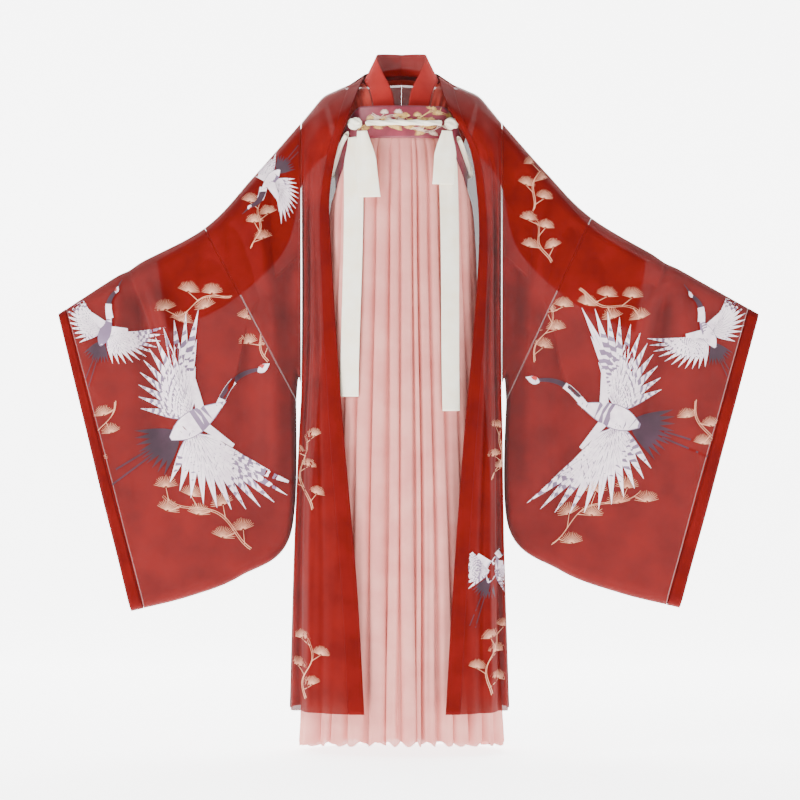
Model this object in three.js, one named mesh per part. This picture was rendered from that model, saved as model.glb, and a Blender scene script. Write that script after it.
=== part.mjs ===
// A three-layer hanfu as it is worn, with nobody in it: a sheer under-top with a standing collar, a chest-high
// pleated skirt with a tied band, and an open large-sleeved robe over both.
// Millimetres, +Z up, +X to the wearer's left, the front faces -Y.
// The origin is on the line of the wearer's shoulders, in the middle of the neck.
import * as THREE from "three";

// ---------------------------------------------------------------- driving sizes
const WALL = 1.5; // every cloth wall
const SEAM = 0.3; // between two pieces at a seam
const PITCH = SEAM + WALL / 2; // the same between their middle lines, where they meet at an angle
const ARMHOLE_X = 205; // where the robe's panels end and its sleeves begin
const PLEATS = 30; // round the whole skirt

const skirt = { hem: -1341, frontRise: 12, tuck: 3, liningHem: -1302, liningInset: 4 };
const band = { top: -45, bottom: -110, sideDrop: 98, a: 135, b: 105 };
const tie = { radius: 6, width: 50, height: -80, stand: 8 };
const robe = { hem: -1268, collarWidth: 42, collarRise: 34 };
const underTop = { hem: -420, collarWidth: 42 };
const cuff = { width: 18 };

// Skirt: half width a and half depth b of its outermost pleat crests, and the pleats' depth.
const SKIRT = [
  { z: -1345, a: 216, b: 163, pleat: 16 },
  { z: -1000, a: 198, b: 150, pleat: 13 },
  { z: -700, a: 179, b: 138, pleat: 11 },
  { z: -330, a: 156, b: 117, pleat: 8 },
  { z: -230, a: 152, b: 112, pleat: 6 },
  { z: -142, a: 144, b: 108, pleat: 4 },
  { z: -107, a: 131, b: 101, pleat: 2 },
];

// Creases between the pleats at the front, in degrees from the middle; the rest are evenly spread.
const FRONT_CREASES = [-44, -32.5, -21, -9.2, -1.2, 8.6, 12.4, 21.6, 31, 42];

// The robe's free front edges: how far out each is on the wearer's right and left, and its depth.
const ROBE_EDGE = [
  { z: 26, right: 76, left: 76, y: 8 },
  { z: -12, right: 89, left: 83, y: -56 },
  { z: -52, right: 103, left: 98, y: -92 },
  { z: -125, right: 129, left: 137, y: -72 },
  { z: -225, right: 146, left: 154, y: -54 },
  { z: -330, right: 143, left: 157, y: -60 },
  { z: -530, right: 130, left: 143, y: -94 },
  { z: -720, right: 115, left: 125, y: -124 },
  { z: -1000, right: 90, left: 104, y: -150 },
  { z: -1268, right: 74, left: 88, y: -170 },
];

// The robe's sides, its back's depth, and the height of its shoulders at each distance out.
const ROBE_SIDE = [
  { z: -72, right: 205, left: 205 },
  { z: -600, right: 205, left: 205 },
  { z: -915, right: 219, left: 210 },
  { z: -1268, right: 229, left: 221 },
];
const ROBE_BACK = [
  { z: 12, y: 86 },
  { z: -60, y: 108 },
  { z: -150, y: 127 },
  { z: -600, y: 152 },
  { z: -1268, y: 184 },
];
const SHOULDER = [
  { x: 76, z: 26 },
  { x: 97, z: 12 },
  { x: 133, z: -4 },
  { x: 160, z: -18 },
  { x: 184, z: -46 },
  { x: 205, z: -72 },
];

// The sleeves' upper and lower edges, seen from the front, and the radius of the arm's tunnel.
// s runs from the armhole (0) through the joining seam (1) to the cuff (2).
const SLEEVE_TOP = {
  right: [
    { s: 0, x: 205, z: -72, arm: 38 },
    { s: 0.5, x: 304, z: -184, arm: 37 },
    { s: 1, x: 403, z: -287, arm: 35 },
    { s: 1.5, x: 557, z: -370, arm: 27 },
    { s: 2, x: 702, z: -463, arm: 15 },
  ],
  left: [
    { s: 0, x: 205, z: -72, arm: 38 },
    { s: 0.5, x: 296, z: -174, arm: 37 },
    { s: 1, x: 389, z: -266, arm: 35 },
    { s: 1.5, x: 540, z: -355, arm: 27 },
    { s: 2, x: 731, z: -463, arm: 15 },
  ],
};
const SLEEVE_BOTTOM = {
  right: [
    { s: 0, x: 205, z: -600 },
    { s: 1, x: 215, z: -640 },
    { s: 1.25, x: 227, z: -915 },
    { s: 1.5, x: 330, z: -1000 },
    { s: 1.75, x: 436, z: -1042 },
    { s: 2, x: 553, z: -1071 },
  ],
  left: [
    { s: 0, x: 205, z: -600 },
    { s: 1, x: 214, z: -640 },
    { s: 1.25, x: 219, z: -900 },
    { s: 1.5, x: 325, z: -988 },
    { s: 1.75, x: 446, z: -1034 },
    { s: 2, x: 569, z: -1064 },
  ],
};
const SLEEVE_SLACK = 20; // half the distance between a sleeve's two layers, low down

// The largest folds of the sleeves: where each starts and ends, its half width and its depth.
const SLEEVE_FOLDS = [
  { x0: 545, z0: -400, x1: 500, z1: -800, half: 42, depth: 9 },
  { x0: 330, z0: -500, x1: 300, z1: -960, half: 34, depth: -5 },
  { x0: 250, z0: -420, x1: 255, z1: -900, half: 26, depth: 9 },
];
// The largest folds of the robe's front panels: their place across the panel and their depth.
const FRONT_FOLDS = { count: 2, depth: 7 };

// Under-top: the collar's free edge and its sewn edge, from the back of the neck to the front.
const TOP_COLLAR = [
  { s: 0, freeX: 0, freeY: 62, freeZ: 74, sewnX: 0, sewnY: 68, sewnZ: 31 },
  { s: 0.16, freeX: 38, freeY: 50, freeZ: 74, sewnX: 48, sewnY: 54, sewnZ: 26 },
  { s: 0.3, freeX: 51, freeY: 12, freeZ: 66, sewnX: 75, sewnY: 8, sewnZ: 17 },
  { s: 0.5, freeX: 40, freeY: -34, freeZ: 32, sewnX: 66, sewnY: -42, sewnZ: -4 },
  { s: 0.75, freeX: 17, freeY: -76, freeZ: -24, sewnX: 57, sewnY: -74, sewnZ: -42 },
  { s: 1, freeX: 5, freeY: -88, freeZ: -130, sewnX: 46, sewnY: -80, sewnZ: -130 },
];
// Under-top: half width and half depth of its body.
const TOP_BODY = [
  { z: 20, a: 124, b: 70 },
  { z: -45, a: 126, b: 92 },
  { z: -120, a: 112, b: 86 },
  { z: -420, a: 118, b: 90 },
];
// Under-top sleeve: upper and lower edge seen from the front, and half its thickness.
const TOP_SLEEVE = [
  { s: 0, topX: 152, topZ: -34, lowX: 130, lowZ: -115, half: 26 },
  { s: 0.25, topX: 200, topZ: -78, lowX: 200, lowZ: -190, half: 28 },
  { s: 0.5, topX: 290, topZ: -180, lowX: 238, lowZ: -330, half: 28 },
  { s: 0.75, topX: 392, topZ: -288, lowX: 352, lowZ: -440, half: 26 },
  { s: 1, topX: 500, topZ: -354, lowX: 478, lowZ: -500, half: 20 },
];

const COLOURS = {
  robe: 0x96291f,
  robeTrim: 0x84201a,
  underTop: 0xb84a45,
  skirt: 0xeebdb8,
  lining: 0xf2c5bf,
  band: 0x7d2635,
  tie: 0xfbf6e2,
};

// ---------------------------------------------------------------- small helpers
const clamp01 = (t) => Math.min(1, Math.max(0, t));
const mix = (a, b, t) => a + (b - a) * t;
const ease = (t) => clamp01(t) ** 2 * (3 - 2 * clamp01(t));
const round = (t) => Math.sqrt(1 - (1 - clamp01(t)) ** 2); // a quarter circle's rise
const steps = (count, from = 0, to = 1) =>
  Array.from({ length: count + 1 }, (_, i) => mix(from, to, i / count));

// A smooth curve through one named column of a table, against its key column.
function curve(table, key, name) {
  const rows = [...table].sort((p, q) => p[key] - q[key]);
  const k = rows.map((r) => r[key]);
  const v = rows.map((r) => r[name]);
  const last = k.length - 1;
  const slope = k.map((_, i) => {
    const [p, q] = [Math.max(i - 1, 0), Math.min(i + 1, last)];
    return (v[q] - v[p]) / (k[q] - k[p]);
  });
  return (x) => {
    if (x <= k[0]) return v[0];
    if (x >= k[last]) return v[last];
    const i = k.findIndex((edge) => edge > x) - 1;
    const h = k[i + 1] - k[i];
    const t = (x - k[i]) / h;
    return (
      (2 * t ** 3 - 3 * t ** 2 + 1) * v[i] +
      (t ** 3 - 2 * t ** 2 + t) * h * slope[i] +
      (3 * t ** 2 - 2 * t ** 3) * v[i + 1] +
      (t ** 3 - t ** 2) * h * slope[i + 1]
    );
  };
}

// A cloth wall. point(u, v) is a point on the middle of the cloth; us and vs are the places where
// it is worked out. closed joins the last u to the first. Half the wall goes to each side.
function clothWall(point, us, vs, closed = false, wall = WALL) {
  const [nu, nv] = [us.length, vs.length];
  const mid = vs.map((v) => us.map((u) => new THREE.Vector3(...point(u, v))));
  const across = (i) => (closed ? (i + nu) % nu : Math.min(nu - 1, Math.max(0, i)));
  const along = (j) => Math.min(nv - 1, Math.max(0, j));
  const normal = (i, j) => {
    const du = mid[j][across(i + 1)].clone().sub(mid[j][across(i - 1)]);
    const dv = mid[along(j + 1)][i].clone().sub(mid[along(j - 1)][i]);
    return du.cross(dv).normalize();
  };
  const positions = [];
  for (const side of [0.5, -0.5]) {
    for (let j = 0; j < nv; j++) {
      for (let i = 0; i < nu; i++) {
        const p = mid[j][i].clone().addScaledVector(normal(i, j), side * wall);
        positions.push(p.x, p.y, p.z);
      }
    }
  }
  const at = (layer, i, j) => layer * nu * nv + j * nu + (closed ? i % nu : i);
  const faces = [];
  const quad = (a, b, c, d) => faces.push(a, b, c, a, c, d);
  const cells = closed ? nu : nu - 1;
  for (let i = 0; i < cells; i++) {
    for (let j = 0; j < nv - 1; j++) {
      quad(at(0, i, j), at(0, i + 1, j), at(0, i + 1, j + 1), at(0, i, j + 1));
      quad(at(1, i, j), at(1, i, j + 1), at(1, i + 1, j + 1), at(1, i + 1, j));
    }
    quad(at(0, i, 0), at(1, i, 0), at(1, i + 1, 0), at(0, i + 1, 0));
    quad(at(0, i, nv - 1), at(0, i + 1, nv - 1), at(1, i + 1, nv - 1), at(1, i, nv - 1));
  }
  if (!closed) {
    for (let j = 0; j < nv - 1; j++) {
      quad(at(0, 0, j), at(0, 0, j + 1), at(1, 0, j + 1), at(1, 0, j));
      quad(at(0, nu - 1, j), at(1, nu - 1, j), at(1, nu - 1, j + 1), at(0, nu - 1, j + 1));
    }
  }
  const geometry = new THREE.BufferGeometry();
  geometry.setAttribute("position", new THREE.Float32BufferAttribute(positions, 3));
  geometry.setIndex(signedVolume(positions, faces) < 0 ? faces.reverse() : faces);
  geometry.computeVertexNormals();
  return geometry;
}

function signedVolume(positions, faces) {
  const corner = (k) => new THREE.Vector3().fromArray(positions, 3 * faces[k]);
  let volume = 0;
  for (let k = 0; k < faces.length; k += 3) {
    volume += corner(k).dot(corner(k + 1).cross(corner(k + 2)));
  }
  return volume;
}

// ---------------------------------------------------------------- the group
const hanfu = new THREE.Group();
hanfu.name = "hanfu";

function addPiece(name, geometry, colour, roughness = 0.75) {
  const material = new THREE.MeshStandardMaterial({ color: colour, roughness, metalness: 0 });
  const mesh = new THREE.Mesh(geometry, material);
  mesh.name = name;
  hanfu.add(mesh);
}

// The wearer's right side is at -X and the left side at +X.
const SIDES = [
  { name: "right", sign: -1 },
  { name: "left", sign: 1 },
];

// ---------------------------------------------------------------- skirt, band and lining
const skirtForm = {
  a: curve(SKIRT, "z", "a"),
  b: curve(SKIRT, "z", "b"),
  pleat: curve(SKIRT, "z", "pleat"),
};

// All the creases round the skirt, in degrees from the front, ending where they began.
function creaseAngles() {
  const first = FRONT_CREASES[0];
  const last = FRONT_CREASES[FRONT_CREASES.length - 1];
  const left = PLEATS - FRONT_CREASES.length + 1;
  const rest = steps(left, last, first + 360).slice(1);
  return [...FRONT_CREASES, ...rest];
}

// Each pleat has its crease and the two ends of its flat crest.
function pleatStations() {
  const creases = creaseAngles();
  return creases.slice(0, -1).flatMap((from, k) => {
    const width = creases[k + 1] - from;
    return [
      { degrees: from, crest: 0 },
      { degrees: from + 0.28 * width, crest: 1 },
      { degrees: from + 0.72 * width, crest: 1 },
    ];
  });
}

// How far the band hangs down at the wearer's sides and back.
const sideDrop = (degrees) => {
  const away = Math.abs(((degrees + 540) % 360) - 180);
  return band.sideDrop * ease((away - 36) / 50);
};

// A tube that hangs from under the band: stations say where its creases and crests are.
function skirtTube(stations, hemZ, inset, rows) {
  const topZ = band.bottom + skirt.tuck;
  const point = (i, v) => {
    const { degrees, crest } = stations[i];
    const angle = THREE.MathUtils.degToRad(degrees);
    const level = mix(topZ, hemZ, v);
    const z = level + mix(-sideDrop(degrees), skirt.frontRise * Math.cos(angle), v);
    const inward = inset + skirtForm.pleat(level) * (1 - crest);
    const x = (skirtForm.a(level) - inward) * Math.sin(angle);
    return [x, -(skirtForm.b(level) - inward) * Math.cos(angle), z];
  };
  return clothWall(point, stations.keys().toArray(), rows, true);
}

function bandWall() {
  const point = (u, v) => {
    const angle = 2 * Math.PI * u;
    const drop = sideDrop(360 * u);
    const z = mix(band.top, band.bottom, v) - drop;
    return [(band.a - 2 * (1 - v)) * Math.sin(angle), -(band.b - 2 * (1 - v)) * Math.cos(angle), z];
  };
  return clothWall(point, steps(39, 0, 39 / 40), [0, 1], true, 2);
}

// ---------------------------------------------------------------- robe
const sleeveHalf = (arm, down, up) => {
  const below = ease((down - arm) / 260);
  return mix(arm, SLEEVE_SLACK, below) * round(down / arm) * round(up / 28);
};

const foldDepth = (x, z) =>
  SLEEVE_FOLDS.reduce((sum, f) => {
    const t = clamp01((z - f.z0) / (f.z1 - f.z0));
    const away = (x - mix(f.x0, f.x1, t)) / f.half;
    const fade = ease((f.z0 - z) / 120) * ease((z - f.z1) / 120);
    return sum + f.depth * fade * Math.exp(-away * away);
  }, 0);

// A point on a robe sleeve. w runs round it: 0 at the top, down the front, 0.5 at the lowest edge.
function sleevePoint(side, s, w) {
  const top = sleeveEdges[side.name];
  const [tx, tz] = [top.x(s), top.z(s)];
  const [bx, bz] = [top.lowX(s), top.lowZ(s)];
  const t = 1 - Math.abs(1 - 2 * w);
  const [x, z] = [mix(tx, bx, t), mix(tz, bz, t)];
  const length = Math.hypot(bx - tx, bz - tz);
  const half = sleeveHalf(top.arm(s), t * length, (1 - t) * length);
  const fold = foldDepth(x, z) * Math.min(1, half / SLEEVE_SLACK) * (w > 0.5 ? 0.6 : 1);
  const y = (half + fold) * (w > 0.5 ? 1 : -1) * (w === 0 || w === 0.5 ? 0 : 1);
  return [side.sign * (x + PITCH * (1 - clamp01(s))), y, z];
}

const sleeveEdges = Object.fromEntries(
  SIDES.map(({ name }) => [
    name,
    {
      x: curve(SLEEVE_TOP[name], "s", "x"),
      z: curve(SLEEVE_TOP[name], "s", "z"),
      arm: curve(SLEEVE_TOP[name], "s", "arm"),
      lowX: curve(SLEEVE_BOTTOM[name], "s", "x"),
      lowZ: curve(SLEEVE_BOTTOM[name], "s", "z"),
    },
  ]),
);

// Places round a sleeve: close together at the rounded top and at the lowest edge.
const DOWN = [0, 0.008, 0.03, 0.07, 0.14, 0.26, 0.4, 0.55, 0.7, 0.84, 0.95, 1];
const AROUND = [...DOWN.map((t) => t / 2), ...DOWN.slice(1, -1).reverse().map((t) => 1 - t / 2)];

// The outer edge of the robe's panels: down the armhole, then down the side seam.
const sideX = { right: curve(ROBE_SIDE, "z", "right"), left: curve(ROBE_SIDE, "z", "left") };
function outerEdge(side, v, front) {
  const z = mix(SLEEVE_TOP.right[0].z, robe.hem, v);
  const armhole = SLEEVE_TOP.right[0].z - SLEEVE_BOTTOM.right[0].z;
  const down = SLEEVE_TOP.right[0].z - z;
  const half = sleeveHalf(SLEEVE_TOP.right[0].arm, down, armhole - down);
  return { x: sideX[side.name](z), y: down < armhole ? half * front : 0, z };
}

const edgeCurve = {
  right: curve(ROBE_EDGE, "z", "right"),
  left: curve(ROBE_EDGE, "z", "left"),
  y: curve(ROBE_EDGE, "z", "y"),
};
const shoulderZ = curve(SHOULDER, "x", "z");

// How a panel curves round the body: its shares outward and away from the side. It meets the
// sleeve at a slant beside the armhole and closes to a full quarter turn below it.
function bend(w, v) {
  const sweep = mix(1.05, Math.PI / 2, ease((v - 0.25) / 0.3));
  const away = (Math.cos(w * sweep) - Math.cos(sweep)) / (1 - Math.cos(sweep));
  return [Math.sin(w * sweep) / Math.sin(sweep), away];
}

// A point on the robe's front, with its collar: w from the free edge to the side, v down to the hem.
function frontPoint(side, w, v) {
  const edgeZ = mix(ROBE_EDGE[0].z, robe.hem, v);
  const edge = { x: edgeCurve[side.name](edgeZ), y: edgeCurve.y(edgeZ), z: edgeZ };
  const outer = outerEdge(side, v, -1);
  const [out, forward] = bend(w, v);
  const x = mix(edge.x, outer.x, out);
  const y = mix(outer.y, edge.y, forward);
  const shoulderX = mix(ROBE_EDGE[0].right, ARMHOLE_X, out);
  const bulge = shoulderZ(shoulderX) - mix(ROBE_EDGE[0].z, SLEEVE_TOP.right[0].z, w);
  const z = mix(edge.z, outer.z, w) + bulge * Math.exp(-9 * v);
  const wave = Math.sin(Math.PI * 2 * FRONT_FOLDS.count * w) * Math.sin(Math.PI * w);
  const fold = FRONT_FOLDS.depth * wave * ease(v / 0.2);
  return [side.sign * (x + fold * out), y - fold * forward, z];
}

// Where across the front the collar's seam lies.
const collarSeam = (side, v) => {
  const [a, b] = [frontPoint(side, 0, v), frontPoint(side, 1, v)];
  const reach = Math.hypot(a[0] - b[0], a[1] - b[1], a[2] - b[2]);
  return Math.min(0.45, (robe.collarWidth * 0.72) / reach);
};

// The back of the neck: the seam where the collar stands on the robe's back.
const backNeck = (out) => {
  const angle = (out * Math.PI) / 2;
  const seam = { x: 115, y: 6, z: 0 };
  return [seam.x * Math.sin(angle), mix(seam.y, ROBE_BACK[0].y, Math.cos(angle)), mix(12, 0, out)];
};

// A point on the robe's back: w from the middle seam to the side, v down to the hem.
const backDepth = curve(ROBE_BACK, "z", "y");
function backPoint(side, w, v) {
  const section = (down) => {
    const z = mix(ROBE_BACK[0].z, robe.hem - 8, down);
    const outer = outerEdge(side, down, 1);
    const [out, away] = bend(w, down);
    return [outer.x * out, mix(outer.y, backDepth(z), away), mix(z, outer.z, w)];
  };
  const neckShare = 0.42;
  const out = (w - neckShare) / (1 - neckShare);
  const shoulderX = mix(115, ARMHOLE_X, out);
  const top = w < neckShare ? backNeck(w / neckShare) : [shoulderX, mix(6, 0, out), shoulderZ(shoulderX)];
  const [low, first] = [section(v), section(0)];
  const keep = Math.exp(-11 * v);
  const [x, y, z] = low.map((value, k) => value + (top[k] - first[k]) * keep);
  return [side.sign * x, y, z];
}

function addRobe(side) {
  const { name } = side;
  const share = PITCH / 180;
  const rows = [0, 0.02, 0.045, 0.08, 0.12, 0.17, 0.23, 0.3, 0.38, 0.46, 0.54, 0.66, 0.82, 1];
    const panel = (u, v) => frontPoint(side, mix(collarSeam(side, v) + share, 1 - share, u), v);
  addPiece(`robe_front_${name}`, clothWall(panel, steps(8), rows), COLOURS.robe);

  const strip = (u, v) => frontPoint(side, u * (collarSeam(side, v) - share), v);
  addPiece(
    `robe_collar_front_${name}`,
    clothWall(strip, [0, 0.5, 1], [0.0015, ...rows.slice(1)]),
    COLOURS.robeTrim,
  );

  const back = (u, v) => backPoint(side, mix(share / 8, 1 - share, u), v);
  const backRows = [0.002, 0.016, 0.04, 0.08, 0.13, 0.2, 0.3, 0.42, 0.54, 0.76, 1];
  addPiece(`robe_back_${name}`, clothWall(back, steps(7), backRows), COLOURS.robe);

  const sleeve = (from, to) => (w, s) => sleevePoint(side, mix(from, to, s), w);
  const root = 0.004;
  addPiece(
    `sleeve_upper_${name}`,
    clothWall(sleeve(root, 1 - root / 2), AROUND, steps(4), true),
    COLOURS.robe,
  );
  const cuffShare = cuff.width / 340;
  addPiece(
    `sleeve_lower_${name}`,
    clothWall(sleeve(1 + root / 2, 2 - cuffShare - root / 2), AROUND, steps(7), true),
    COLOURS.robe,
  );
  addPiece(
    `sleeve_cuff_${name}`,
    clothWall(sleeve(2 - cuffShare + root / 2, 2), AROUND, [0, 1], true),
    COLOURS.robeTrim,
  );
}

// The collar's standing part behind the neck, from one shoulder to the other.
function robeNeck() {
  const point = (u, v) => {
    const side = u < 0 ? -1 : 1;
    const out = Math.abs(u);
    const sewn = backNeck(out);
    const angle = (out * Math.PI) / 2;
    const free = [76 * Math.sin(angle), mix(8, 74, Math.cos(angle)), mix(46, 26, out)];
    const [x, y, z] = sewn.map((value, k) => mix(value, free[k], mix(0.04, 1, v)));
    return [side * x, y, z + 1];
  };
  return clothWall(point, steps(14, -0.985, 0.985), [0, 0.5, 1]);
}

// ---------------------------------------------------------------- under-top
const collarCurve = Object.fromEntries(
  Object.keys(TOP_COLLAR[0]).map((name) => [name, curve(TOP_COLLAR, "s", name)]),
);
const topBody = { a: curve(TOP_BODY, "z", "a"), b: curve(TOP_BODY, "z", "b") };
const topSleeve = Object.fromEntries(
  Object.keys(TOP_SLEEVE[0]).map((name) => [name, curve(TOP_SLEEVE, "s", name)]),
);

function topCollar() {
  const point = (u, v) => {
    const [side, s] = [u < 0 ? -1 : 1, Math.abs(u)];
    const x = mix(collarCurve.sewnX(s), collarCurve.freeX(s), v);
    const y = mix(collarCurve.sewnY(s), collarCurve.freeY(s), v);
    return [side * x, y, mix(collarCurve.sewnZ(s), collarCurve.freeZ(s), v)];
  };
  return clothWall(point, steps(24, -1, 1), [0, 0.5, 1]);
}

// The top's outer line: the end of the shoulder, the armhole, and the side down to its hem.
const topSide = (v) => {
  const armholeShare = 0.22;
  if (v < armholeShare) {
    const t = v / armholeShare;
    return { x: mix(150, 127, t), y: 24 * Math.sin(Math.PI * t), z: mix(-35, -116, t) };
  }
  const z = mix(-116, underTop.hem, (v - armholeShare) / (1 - armholeShare));
  return { x: topBody.a(z), y: 0, z };
};

function topFront(side) {
  const point = (u, v) => {
    const s = mix(0.33, 1, clamp01(v / 0.3));
    const seam = {
      x: collarCurve.sewnX(s) + 1.5,
      y: collarCurve.sewnY(s),
      z: collarCurve.sewnZ(s) - 4,
    };
    const low = clamp01((v - 0.3) / 0.7);
    const inner = { x: mix(seam.x, 6, low), y: mix(seam.y, -88, low), z: mix(seam.z, underTop.hem, low) };
    const outer = topSide(v);
    const angle = (u * Math.PI) / 2;
    const x = mix(inner.x, outer.x, Math.sin(angle));
    const y = mix(-outer.y - PITCH, inner.y, Math.cos(angle));
    return [side.sign * x, y, mix(inner.z, outer.z, u)];
  };
  return clothWall(point, steps(5), [0, 0.06, 0.13, 0.22, 0.3, 0.6, 1]);
}

function topBack(side) {
  const point = (u, v) => {
    const neckShare = 0.5;
    const angle = (u * Math.PI) / 2;
    const section = (down) => {
      const z = mix(28, underTop.hem, down);
      const outer = topSide(down);
      const depth = mix(70, topBody.b(z), ease(down / 0.3));
      const y = mix(outer.y + PITCH, depth, Math.cos(angle));
      return [outer.x * Math.sin(angle), y, mix(z, outer.z, u)];
    };
    const neck = () => {
      const s = (0.3 * u) / neckShare;
      return [collarCurve.sewnX(s), collarCurve.sewnY(s) + 1.5, collarCurve.sewnZ(s) - 2];
    };
    const out = (u - neckShare) / (1 - neckShare);
    const top = u < neckShare ? neck() : [mix(75, 150, out), mix(8, 0, out), mix(11, -35, out)];
    const [low, first] = [section(v), section(0)];
    const keep = Math.exp(-9 * v);
    const [x, y, z] = low.map((value, k) => value + (top[k] - first[k]) * keep);
    return [side.sign * (x + SEAM / 2), y, z];
  };
  return clothWall(point, steps(6), [0.01, 0.06, 0.13, 0.22, 0.4, 1]);
}

function topSleeveWall(side) {
  const down = [0, 0.1, 0.3, 0.55, 0.8, 0.95, 1];
  const around = [...down.map((t) => t / 2), ...down.slice(1, -1).reverse().map((t) => 1 - t / 2)];
  const point = (w, s) => {
    const t = 1 - Math.abs(1 - 2 * w);
    const half = topSleeve.half(s) * round(t / 0.3) * round((1 - t) / 0.3);
    const x = mix(topSleeve.topX(s), topSleeve.lowX(s), t);
    const z = mix(topSleeve.topZ(s), topSleeve.lowZ(s), t);
    return [side.sign * x, half * (w > 0.5 ? 1 : -1) * (t === 0 || t === 1 ? 0 : 1), z];
  };
  return clothWall(point, around, steps(5, 0.03, 1), true);
}

// ---------------------------------------------------------------- ties
// A place in front of the skirt, stand millimetres clear of its pleats.
const onSkirt = (x, z, stand) => {
  const a = Math.max(skirtForm.a(z), band.a + 4) + stand;
  const b = Math.max(skirtForm.b(z), band.b + 4) + stand;
  return [x, -b * Math.sqrt(Math.max(0, 1 - (x / a) ** 2)), z];
};

// The rolled tie lies on the band from one angle to another, in degrees from the front.
function tieRoll(fromDegrees, toDegrees, count) {
  const centres = steps(count, fromDegrees, toDegrees).map((degrees) => {
    const angle = THREE.MathUtils.degToRad(degrees);
    const [a, b] = [band.a + tie.stand, band.b + tie.stand];
    const z = tie.height - sideDrop(degrees);
    return new THREE.Vector3(a * Math.sin(angle), -b * Math.cos(angle), z);
  });
  const section = new THREE.Shape().absarc(0, 0, tie.radius, 0, 2 * Math.PI);
  return new THREE.ExtrudeGeometry(section, {
    steps: count,
    curveSegments: 5,
    bevelEnabled: false,
    extrudePath: new THREE.CatmullRomCurve3(centres),
  });
}

// A flat end of the tie: its middle line and width, from the knot down.
const TAILS = {
  right: { fromX: -97, toX: -103, fromZ: -107, toZ: -632, width: 40 },
  left: { fromX: 92, toX: 102, fromZ: -107, toZ: -661, width: 38 },
};
function tieTail({ fromX, toX, fromZ, toZ, width }) {
  const point = (u, v) => {
    const z = mix(fromZ, toZ, v);
    const spread = width * mix(0.55, 1, ease(v / 0.12)) * mix(1, 0.92, v);
    return onSkirt(mix(fromX, toX, v) + (u - 0.5) * spread, z, 4);
  };
  return clothWall(point, [0, 0.5, 1], [0, 0.04, 0.1, 0.2, 0.4, 0.7, 1]);
}

// A loop of the tie: down from the knot in front, round, and back up behind itself.
const LOOPS = {
  right: { topX: -80, lowX: -64, topZ: -93, lowZ: -231, width: 44, apart: 7 },
  left: { topX: 92, lowX: 84, topZ: -93, lowZ: -205, width: 44, apart: 8 },
};
function tieLoop({ topX, lowX, topZ, lowZ, width, apart }) {
  const point = (u, v) => {
    const down = 1 - Math.abs(1 - 2 * v);
    const z = mix(topZ, lowZ, ease(Math.min(1, down * 1.02)) * 0.3 + down * 0.7);
    const spread = width * mix(0.5, 1, ease(down / 0.5));
    const stand = 20 + apart * Math.cos(Math.PI * v);
    return onSkirt(mix(topX, lowX, down) + (u - 0.5) * spread, z, stand);
  };
  return clothWall(point, [0, 0.5, 1], steps(12, 0.02, 0.98));
}

function tieKnot(degrees, length) {
  const angle = THREE.MathUtils.degToRad(degrees);
  const knot = new THREE.SphereGeometry(1, 12, 8);
  knot.scale(length / 2, 9, 11);
  knot.rotateZ(angle);
  const [a, b] = [band.a + 12, band.b + 12];
  knot.translate(a * Math.sin(angle), -b * Math.cos(angle), tie.height);
  return knot;
}

// ---------------------------------------------------------------- the whole garment
SIDES.forEach(addRobe);
addPiece("robe_collar_neck", robeNeck(), COLOURS.robeTrim);

addPiece("undertop_collar", topCollar(), COLOURS.underTop);
for (const side of SIDES) {
  addPiece(`undertop_front_${side.name}`, topFront(side), COLOURS.underTop);
  addPiece(`undertop_back_${side.name}`, topBack(side), COLOURS.underTop);
  addPiece(`undertop_sleeve_${side.name}`, topSleeveWall(side), COLOURS.underTop);
}

addPiece("skirt_band", bandWall(), COLOURS.band);
addPiece(
  "skirt_outer",
  skirtTube(pleatStations(), skirt.hem, 0, [0, 0.03, 0.11, 0.48, 1]),
  COLOURS.skirt,
);
const plainStations = steps(39, 0, 351).map((degrees) => ({ degrees, crest: 0 }));
addPiece(
  "skirt_lining",
  skirtTube(plainStations, skirt.liningHem, skirt.liningInset, [0, 0.03, 0.11, 0.48, 1]),
  COLOURS.lining,
);

addPiece("tie_roll_front", tieRoll(-29.5, 33.5, 6), COLOURS.tie);
addPiece("tie_roll_back", tieRoll(54, 309.5, 18), COLOURS.tie);
addPiece("tie_knot_right", tieKnot(-40, 42), COLOURS.tie);
addPiece("tie_knot_left", tieKnot(43.5, 40), COLOURS.tie);
for (const { name } of SIDES) {
  addPiece(`tie_loop_${name}`, tieLoop(LOOPS[name]), COLOURS.tie);
  addPiece(`tie_tail_${name}`, tieTail(TAILS[name]), COLOURS.tie);
}

export default hanfu;
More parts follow.
